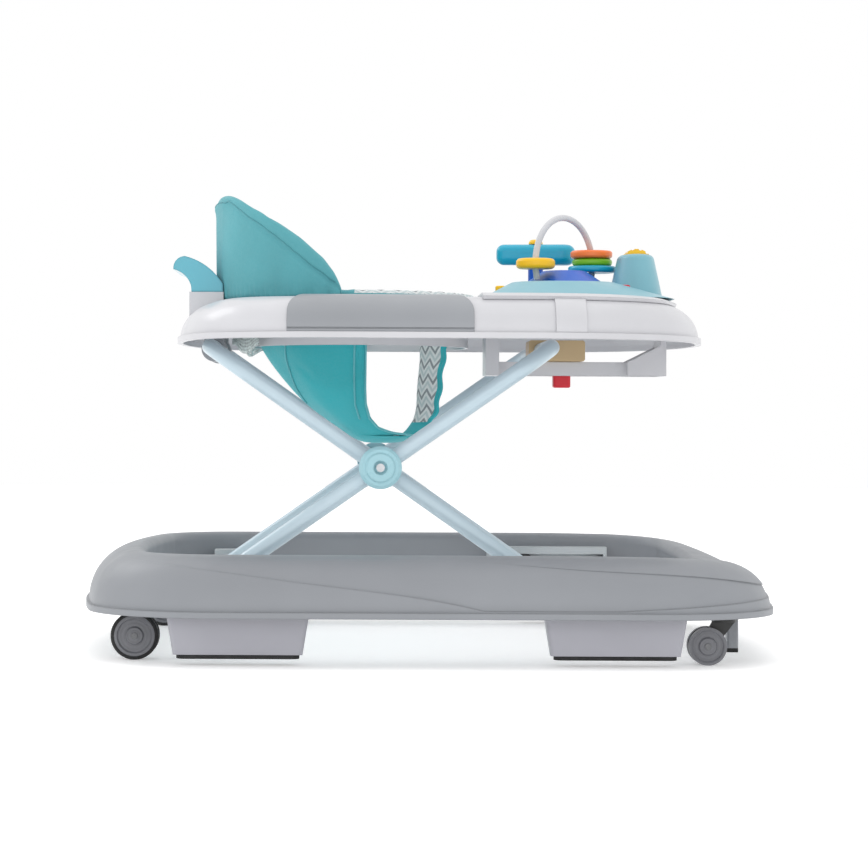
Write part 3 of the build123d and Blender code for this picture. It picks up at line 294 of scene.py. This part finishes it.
# Finishes of the rigid pieces by the record's material slots, apart from the wheels and axles
slots = {
    "base_plastic": plastic("base_grey", (139, 142, 147), 0.44, edge=0.002),
    "bracket_plastic": plastic("bracket_grey", (190, 196, 199), 0.45),
    "dark_plastic": plastic("fork_grey", (50, 50, 50), 0.45),
    "black_rubber": rubber("black_rubber"),
    "steel": steel("plain_steel"),
    "tube_paint": paint("tube_blue_grey", (188, 207, 217)),
    "aqua_plastic": plastic("hub_aqua", (154, 198, 208), 0.28, coat=0.3),
    "pale_aqua_plastic": plastic("tray_aqua", (122, 176, 189), 0.34),
    "white_plastic": plastic("ring_white", (200, 200, 204), 0.34, edge=0.0015, coat=0.15),
    "box_plastic": plastic("box_white", (168, 168, 176), 0.42),
    "grey_plastic": plastic("panel_grey", (146, 149, 154), 0.36),
    "sky_plastic": plastic("handle_sky", (84, 172, 190), 0.2, edge=0.003, coat=0.6),
    "beige_plastic": plastic("slider_beige", (190, 165, 126), 0.42),
    "red_plastic": plastic("button_red", (208, 4, 36), 0.34, coat=0.1),
    "yellow_plastic": plastic("toy_yellow", (254, 194, 0), 0.34, coat=0.15),
    "orange_plastic": plastic("toy_orange", (252, 124, 50), 0.34, coat=0.15),
    "green_plastic": plastic("toy_green", (122, 190, 24), 0.34, coat=0.15),
    "blue_plastic": plastic("toy_blue", (0, 88, 196), 0.4, coat=0.1),
    "teal_plastic": plastic("toy_teal", (8, 166, 196), 0.34, coat=0.15),
    "turquoise_fabric": cloth("turquoise_cloth", (86, 166, 175)),
}
slot_of = {entry["node"]: entry["material_slot"] for entry in frame["record"]["subparts"]}
axle_steel = steel("axle_steel", 0.3)
wheel_grey = (118, 119, 124)
for name, obj in nodes.items():
    slot = slot_of[name]
    if slot == "wheel_plastic":
        centre = tuple((low + high) / 2 for low, high in zip(*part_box(name)))
        finish = turned(f"turned_{name}", wheel_grey, centre)
    else:
        finish = axle_steel if "axle" in name else slots[slot]
    obj.data.materials.clear()
    obj.data.materials.append(finish)

turquoise = slots["turquoise_fabric"]
sling_turquoise = cloth("sling_turquoise", (43, 172, 181))
lining = chevron("chevron_lining", [(146, 153, 157), (232, 237, 237), (202, 215, 217), (232, 237, 237)])
piping_cloth = cloth("piping_turquoise", (96, 184, 192), 0.0008)
thread = cloth("seam_thread", (70, 148, 158), 0.0006)
mesh_cloth = net("grey_net", (214, 224, 222))


# Meshes and curves
def smooth_faces(data):
    """Shades a mesh smooth."""
    for polygon in data.polygons:
        polygon.use_smooth = True


def mesh_object(name, points, faces, finishes, flat=None):
    """A smooth mesh piece with its finishes and, where given, its flat cloth coordinates."""
    data = bpy.data.meshes.new(name)
    data.from_pydata(points, [], faces)
    if flat:
        layer = data.uv_layers.new(name="UVMap")
        for loop in data.loops:
            layer.data[loop.index].uv = flat[loop.vertex_index]
    smooth_faces(data)
    for finish in finishes:
        data.materials.append(finish)
    obj = bpy.data.objects.new(name, data)
    bpy.context.collection.objects.link(obj)
    return obj


def apply_modifiers(obj):
    """Bakes a piece's modifiers into its mesh."""
    bpy.context.view_layer.update()
    shape = obj.evaluated_get(bpy.context.evaluated_depsgraph_get())
    data = bpy.data.meshes.new_from_object(shape)
    obj.modifiers.clear()
    obj.data = data
    smooth_faces(data)


def grid_faces(rows, columns, wrap=False):
    """Quads of a grid of points, row by row, closed across its columns on request."""
    last = columns if wrap else columns - 1
    return [(r * columns + c, r * columns + (c + 1) % columns, (r + 1) * columns + (c + 1) % columns,
             (r + 1) * columns + c) for r in range(rows - 1) for c in range(last)]


def tube_faces(rings, sides):
    """Faces of rings of points along a tube, with a cap on each end."""
    caps = [tuple(range(sides))[::-1], tuple(range((rings - 1) * sides, rings * sides))]
    return grid_faces(rings, sides, wrap=True) + caps


def smooth_row(rows, t):
    """A row at a place from 0 to 1 along rows of numbers, on a smooth curve through them."""
    at = min(max(t, 0.0), 1.0) * (len(rows) - 1)
    index = min(int(at), len(rows) - 2)
    f = at - index
    before, after = rows[max(index - 1, 0)], rows[min(index + 2, len(rows) - 1)]
    return [0.5 * (2 * b + (c - a) * f + (2 * a - 5 * b + 4 * c - d) * f * f
                   + (3 * b - a - 3 * c + d) * f ** 3)
            for a, b, c, d in zip(before, rows[index], rows[index + 1], after)]


def line_height(line, x):
    """Height of a line in side view at a place along the walker, on a smooth curve."""
    for index, ((x0, _), (x1, _)) in enumerate(zip(line, line[1:])):
        if x <= x1:
            return smooth_row(line, (index + max((x - x0) / (x1 - x0), 0.0)) / (len(line) - 1))[1]
    return line[-1][1]


def tube(name, points, radius, finish, sides=8):
    """A round cord along points, as a mesh, riding on the ring."""
    count = len(points)
    skin = []
    for index, point in enumerate(points):
        along = (points[min(index + 1, count - 1)] - points[max(index - 1, 0)]).normalized()
        side = along.cross(Vector((0.31, 0.17, 0.93))).normalized()
        up = along.cross(side)
        skin += [point + radius * (side * cos(2 * pi * k / sides) + up * sin(2 * pi * k / sides))
                 for k in range(sides)]
    obj = mesh_object(name, skin, tube_faces(count, sides), [finish])
    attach(obj, "ring")
    return obj


def puff(obj, pressure, cap):
    """Swells a closed pad by cloth simulation, no point moving further than the cap, and smooths it once.
    """
    start = [vertex.co.copy() for vertex in obj.data.vertices]
    frames = 20
    sim = obj.modifiers.new("cloth", "CLOTH")
    sim.settings.use_pressure = True
    sim.settings.uniform_pressure_force = pressure
    sim.settings.effector_weights.gravity = 0.0
    sim.settings.tension_stiffness = 20.0
    sim.settings.compression_stiffness = 20.0
    sim.point_cache.frame_start, sim.point_cache.frame_end = 1, frames
    for number in range(1, frames + 1):
        bpy.context.scene.frame_set(number)
    apply_modifiers(obj)
    bpy.context.scene.frame_set(1)
    for vertex, origin in zip(obj.data.vertices, start):
        move = vertex.co - origin
        if move.length > cap:
            vertex.co = origin + move * (cap / move.length)
    smooth = obj.modifiers.new("smooth", "SUBSURF")
    smooth.levels = smooth.render_levels = 1
    apply_modifiers(obj)


# Backrest: a padded half ring, fin-shaped in side view
SEAT_X = -70.0
BACK_A, BACK_B = 138.2, 158.2
BACK_FOOT = 350.5
BACK_TURN = radians(83.5)
PAD_HALF = 10.2
SWELL = 0.8  # Height left for the pad's swelling
back_top = [
    (-228.0, 453.0), (-216.0, 457.5), (-204.0, 459.3), (-192.0, 455.0), (-175.0, 443.6),
    (-158.4, 432.0), (-127.4, 411.0), (-103.8, 390.0), (-92.0, 374.0), (-85.0, 358.0),
]
seam_line = [
    (-222.0, 452.0), (-207.0, 452.0), (-180.0, 430.5), (-158.4, 413.4),
    (-126.6, 388.2), (-106.8, 373.0), (-89.0, 360.0), (-80.0, 355.0),
]


def back_x(turn, out):
    """Place along the walker of a turn round the seat's oval from its rear, out of the pad's middle."""
    return SEAT_X - (BACK_A + out) * cos(turn)


def back_point(turn, out, z):
    """A point of the pad: turn round the seat's oval from its rear, distance out of its middle, height."""
    return Vector((back_x(turn, out) * MM, -(BACK_B + out) * sin(turn) * MM, z * MM))


# The pad's section as shares of its thickness, height and crown: up one side and down the other
side_rows, crown_rows = 18, 10
section = [(1.0, k / side_rows, 0.0) for k in range(side_rows)]
section += [(cos(pi * k / crown_rows), 1.0, sin(pi * k / crown_rows)) for k in range(crown_rows + 1)]
section += [(-1.0, k / side_rows, 0.0) for k in reversed(range(side_rows))]

back_stations = 110
points = []
for station in range(back_stations):
    turn = -BACK_TURN + 2 * BACK_TURN * station / (back_stations - 1)
    half = PAD_HALF * (1 - 0.5 * (abs(turn) / BACK_TURN) ** 14)
    for across, share, lift in section:
        out = half * across * (1 - 0.25 * exp(-6 * share))
        top = line_height(back_top, back_x(turn, out)) - SWELL
        crown = min(half, 0.6 * (top - BACK_FOOT))
        height = BACK_FOOT + share * (top - crown - BACK_FOOT) + lift * crown
        points.append(back_point(turn, out, height))
backrest = mesh_object("backrest_pad", points, tube_faces(back_stations, len(section)), [turquoise])
puff(backrest, 4.0, 1.6 * MM)

SEAM_DEPTH, SEAM_WIDTH = 1.5, 2.8
FOOT_DEPTH, FOOT_HEIGHT = 0.8, 11.0
WAVER_DEPTH, WAVER_SCALE = 1.3, 0.016
for vertex in backrest.data.vertices:
    x, y, z = (c / MM for c in vertex.co)
    outward = Vector(((x - SEAT_X) / BACK_A ** 2, y / BACK_B ** 2, 0)).normalized()
    reach = sqrt(((x - SEAT_X) / BACK_A) ** 2 + (y / BACK_B) ** 2)
    sign = min(max((reach - 1) * BACK_A / 4, -1.0), 1.0)
    pinch = SEAM_DEPTH * exp(-((line_height(seam_line, x) - z) / SEAM_WIDTH) ** 2)
    foot = exp(-((z - BACK_FOOT) / FOOT_HEIGHT) ** 2)
    ripple = foot * (sin(0.4 * x + 0.3 * y + 2.2 * sin(0.09 * y)) + 0.6 * sin(0.7 * x - 0.5 * y))
    waver = WAVER_DEPTH * noise.noise(Vector((x, y, z)) * WAVER_SCALE)
    vertex.co -= outward * sign * (pinch + FOOT_DEPTH * foot - ripple - waver) * MM
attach(backrest, "ring")
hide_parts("backrest")

bpy.context.view_layer.update()
back_seam = []
for step in range(121):
    turn = 0.97 * BACK_TURN * (step / 60 - 1)
    height = line_height(seam_line, back_x(turn, PAD_HALF))
    _, place, _, _ = backrest.closest_point_on_mesh(back_point(turn, 14.0, height))
    back_seam.append(place)
tube("backrest_seam", back_seam, 0.7 * MM, thread)


# Fabric rim round the seat hole: turquoise behind, zigzag lining on top in front
RIM_A, RIM_B = 116.5, 136.5
RIM_Z = 354.2
RIM_HALF, RIM_RISE = 8.0, 5.2
RIM_REACH = 0.126  # Metres of cloth along the rim for a turn of one radian
LINING_X, LINING_Z = -0.075, 0.3555  # Metres: the lining lies in front of and above these


def rim_point(turn, angle):
    """A point of the rim: turn round the seat hole from the front, angle round its section."""
    pucker = 0.5 * sin(54 * turn) + 0.4 * sin(31 * turn + 1.0)
    rise = RIM_RISE + 0.5 * pucker
    out = RIM_HALF * cos(angle)
    z = RIM_Z + rise * sin(angle) * (1.0 if sin(angle) > 0 else 0.8)
    return Vector(((SEAT_X + (RIM_A + out) * cos(turn)) * MM, (RIM_B + out) * sin(turn) * MM, z * MM))


rim_stations, rim_sides = 220, 20
points, flat = [], []
for station in range(rim_stations + 1):
    turn = 2 * pi * station / rim_stations
    for k in range(rim_sides):
        angle = 2 * pi * k / rim_sides
        points.append(rim_point(turn, angle))
        flat.append((RIM_REACH * turn, RIM_HALF * MM * angle))
faces = grid_faces(rim_stations + 1, rim_sides, wrap=True)
rim = mesh_object("seat_rim_pad", points, faces, [turquoise, lining], flat)
for polygon in rim.data.polygons:
    lined = polygon.center.x > LINING_X and polygon.center.z > LINING_Z
    polygon.material_index = 1 if lined else 0
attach(rim, "ring")
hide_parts("seat_rim")


# Seat sling: a hung bucket of cloth with U-shaped leg openings, and the strap in front.
# The bucket's rows give its height, its middle along the walker and its half length and width there.
sling_rows = [
    (351.0, -70.0, 107.0, 127.0), (330.0, -71.5, 103.0, 123.5), (311.0, -73.0, 98.4, 119.0),
    (281.0, -65.5, 86.0, 104.0), (251.5, -55.0, 71.5, 87.5), (231.0, -46.5, 54.0, 68.0),
    (214.5, -41.5, 36.0, 48.0), (208.0, -43.0, 20.0, 28.0), (206.8, -45.0, 6.0, 9.0),
]
hem_rows = [
    (351.0, -61.0), (300.0, -61.0), (262.0, -61.0), (246.0, -60.5), (232.0, -56.5),
    (222.5, -48.0), (217.5, -34.0), (215.5, -18.0), (214.6, -7.0),
]
NO_HEM = 1000.0  # Further forward than the bucket reaches, where it is closed all round
CREASE_X, CREASE_Z = -132.0, 287.5


def hem_x(z):
    """How far forward the bucket's hem lies at a height."""
    for (z0, x0), (z1, x1) in zip(hem_rows, hem_rows[1:]):
        if z >= z1:
            return x0 + (x1 - x0) * (z0 - z) / (z0 - z1)
    return NO_HEM


def sling_point(t, u, proud=0.0):
    """A point of the bucket: t from rim to bottom, u from the right hem round the rear to the left hem."""
    z, x, a, b = smooth_row(sling_rows, t)
    start = acos(min(max((hem_x(z) - x) / a, -1.0), 1.0))
    turn = start + (2 * pi - 2 * start) * u
    fold = 1.5 * sin(9 * turn + 0.02 * z) * exp(-((z - 300) / 60.0) ** 2)
    fold += 1.6 * noise.noise(Vector((2.4 * cos(turn), 2.4 * sin(turn), z * 0.022)))
    right, down = x + a * cos(turn) - CREASE_X, CREASE_Z - z
    aside, along = 0.66 * right - 0.75 * down, 0.75 * right + 0.66 * down - 12
    fold -= 2.0 * exp(-(aside / 3.0) ** 2 - (along / 12.0) ** 2)
    away = 1 + (fold + proud) / max(a, 20.0)
    return Vector(((x + a * cos(turn) * away) * MM, -b * sin(turn) * away * MM, z * MM))


def sheet_mesh(name, rows, columns, place, thickness, finishes, border=0.0, tail=1.0):
    """A cloth sheet over a grid of places, with its area, riding on the ring.

    It has a thickness, and its flat coordinates are measured along the cloth. Its second finish is on its
    back and, where they are given, on a share of both its side edges and past a share of its length.
    """
    points = [place(r / (rows - 1), c / (columns - 1)) for r in range(rows) for c in range(columns)]
    flat = []
    middle = columns // 2
    down = 0.0
    for r in range(rows):
        row = points[r * columns:(r + 1) * columns]
        if r:
            down += (row[middle] - points[(r - 1) * columns + middle]).length
        run = [0.0]
        for a, b in zip(row, row[1:]):
            run.append(run[-1] + (b - a).length)
        flat += [(at - run[middle], down) for at in run]
    obj = mesh_object(name, points, grid_faces(rows, columns), finishes, flat)
    area = sum(polygon.area for polygon in obj.data.polygons)
    for index, polygon in enumerate(obj.data.polygons):
        across = (index % (columns - 1) + 0.5) / (columns - 1)
        past = index // (columns - 1) > tail * (rows - 1)
        polygon.material_index = 1 if past or min(across, 1 - across) < border else 0
    solid = obj.modifiers.new("cloth", "SOLIDIFY")
    solid.thickness = thickness
    solid.offset = -1.0
    solid.material_offset = 1
    apply_modifiers(obj)
    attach(obj, "ring")
    return obj, area


sling, sling_area = sheet_mesh("sling_cloth", 70, 150, sling_point, 1.6 * MM, [sling_turquoise, lining])

# The strap's rows give its middle and its edges, each along the walker and up, and its half width
strap_rows = [
    (31.0, 350.0, 34.0, 350.0, 48.0), (13.0, 331.0, 28.0, 331.0, 47.5), (-3.0, 312.0, 23.0, 312.0, 47.0),
    (-5.0, 290.0, 18.5, 290.0, 45.5), (-7.5, 262.0, 14.5, 262.0, 43.0), (-9.5, 240.0, 11.0, 240.0, 38.5),
    (-14.0, 226.0, 4.0, 227.0, 33.0), (-27.0, 214.5, -9.0, 216.0, 27.0), (-50.0, 211.0, -38.0, 212.0, 20.0),
]


def strap_point(t, u):
    """A point of the front strap, bowed back in its middle: t from rim to bottom, u from right to left."""
    mid_x, mid_z, edge_x, edge_z, half = smooth_row(strap_rows, t)
    across = 2 * u - 1
    bow = abs(across) ** 1.6
    curl = 1.2 * sin(46 * t + 2.5 * across) * bow + 1.5 * noise.noise(Vector((6 * t, 1.6 * across, 3.1)))
    return Vector(((mid_x + (edge_x - mid_x) * bow + curl) * MM, half * across * MM,
                   (mid_z + (edge_z - mid_z) * bow) * MM))


strap_finishes = [lining, sling_turquoise]
strap, strap_area = sheet_mesh("strap_cloth", 60, 36, strap_point, 2.2 * MM, strap_finishes, 0.06, 0.72)

TRIM_START = 0.02  # Where the piping and seams start below the rim, as a share of the way down


def hem_cord(name, inset, proud, side, end):
    """A piping cord on the bucket beside its hem, on one side, down to a share of the way to the bottom."""
    points = []
    count = 60
    for index in range(count):
        t = TRIM_START + (end - TRIM_START) * index / (count - 1)
        width = (sling_point(t, 1.0) - sling_point(t, 0.97)).length / 0.03
        u = min(inset * MM / max(width, 0.06), 0.2)
        points.append(sling_point(t, u if side < 0 else 1 - u, proud))
    return tube(name, points, 1.0 * MM, piping_cloth)


def side_seam_point(t, side):
    """A point of the bucket's side seam: t from rim to bottom."""
    return sling_point(t, 0.5 + side * (0.408 - 0.65 * t), 0.7)


for side, hand in ((-1, "right"), (1, "left")):
    hem_cord(f"hem_piping_{hand}", 1.0, 0.6, side, 0.84)
    hem_cord(f"hem_seam_{hand}", 12.0, 0.4, side, 0.62)
    seam = [side_seam_point(TRIM_START + 0.5 * k / 40, side) for k in range(41)]
    tube(f"side_seam_{hand}", seam, 1.1 * MM, piping_cloth)
    edge = [strap_point(TRIM_START + 0.86 * k / 50, 0.0 if side < 0 else 1.0) for k in range(51)]
    tube(f"strap_binding_{hand}", edge, 1.6 * MM, sling_turquoise)
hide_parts("seat_sling")


# Net flap under the ring, behind the sling
FLAP_A, FLAP_B = 128.0, 148.0
FLAP_TOP, FLAP_EDGE = 345.5, 308.0


def flap_point(t, u):
    """A point of the flap: t from the ring's underside to its edge, u across from left to right."""
    degrees = 80 * u - 40
    low = FLAP_EDGE - 11 * exp(-((abs(degrees) - 28) / 9) ** 2)
    wave = 1.2 * t * sin(0.35 * degrees)
    turn = radians(degrees)
    return Vector(((SEAT_X - (FLAP_A + wave) * cos(turn)) * MM, -(FLAP_B + wave) * sin(turn) * MM,
                   (FLAP_TOP + (low - FLAP_TOP) * t) * MM))


flap, flap_area = sheet_mesh("net_flap", 14, 60, flap_point, 0.8 * MM, [mesh_cloth, mesh_cloth])


# Stage: floor, light and camera
bpy.ops.mesh.primitive_plane_add(size=12.0, location=(0.0, 0.0, 0.0))
floor = bpy.context.object
floor.name = "floor"
floor_look = Look("studio_floor")
floor.data.materials.append(floor_look.feed(
    Base_Color=floor_look.ramp(floor_look.noise(2.0), (0.3, 0.9), (0.7, 0.92)),
    Roughness=0.8,
    Emission_Color=(1.0, 1.0, 1.0, 1.0),
    Emission_Strength=0.3,
))

world = bpy.data.worlds.new("studio")
bpy.context.scene.world = world
world.use_nodes = True
background = world.node_tree.nodes["Background"]
background.inputs["Color"].default_value = (1.0, 1.0, 1.0, 1.0)
background.inputs["Strength"].default_value = 1.0


def softbox(name, place, aim, size, power):
    """A large soft light."""
    data = bpy.data.lights.new(name, "AREA")
    data.shape = "RECTANGLE"
    data.size, data.size_y = size
    data.energy = power
    lamp = bpy.data.objects.new(name, data)
    lamp.location = place
    lamp.rotation_euler = (Vector(aim) - Vector(place)).to_track_quat("-Z", "Y").to_euler()
    bpy.context.collection.objects.link(lamp)


softbox("top_light", (0.0, 0.2, 2.4), (0.0, 0.0, 0.2), (2.4, 2.4), 10.0)
softbox("left_light", (-2.2, -0.6, 1.0), (0.0, 0.0, 0.2), (1.4, 1.8), 3.0)
softbox("rear_light", (-1.7, 1.1, 1.7), (-0.25, 0.0, 0.1), (0.9, 0.9), 7.0)
softbox("front_light", (0.0, -3.0, 1.0), (0.0, 0.0, 0.2), (2.4, 1.2), 6.0)

# The photo's width, focal length and optical axis in pixels
PHOTO_SIZE = 868
PHOTO_FOCUS = 2623.6
AXIS_X, AXIS_Y = 347, 417
camera_data = bpy.data.cameras.new("photo_camera")
camera_data.sensor_width = 36.0
camera_data.lens = camera_data.sensor_width * PHOTO_FOCUS / PHOTO_SIZE
camera_data.shift_x = (PHOTO_SIZE / 2 - AXIS_X) / PHOTO_SIZE
camera_data.shift_y = -(PHOTO_SIZE / 2 - AXIS_Y) / PHOTO_SIZE
camera_data.clip_end = 50.0
camera = bpy.data.objects.new("photo_camera", camera_data)
camera.location = (-0.0803, -2.7295, 0.2335)
camera.rotation_euler = (radians(90), radians(-0.258), 0.0)
bpy.context.collection.objects.link(camera)
bpy.context.scene.camera = camera
bpy.context.scene.view_settings.view_transform = "Standard"
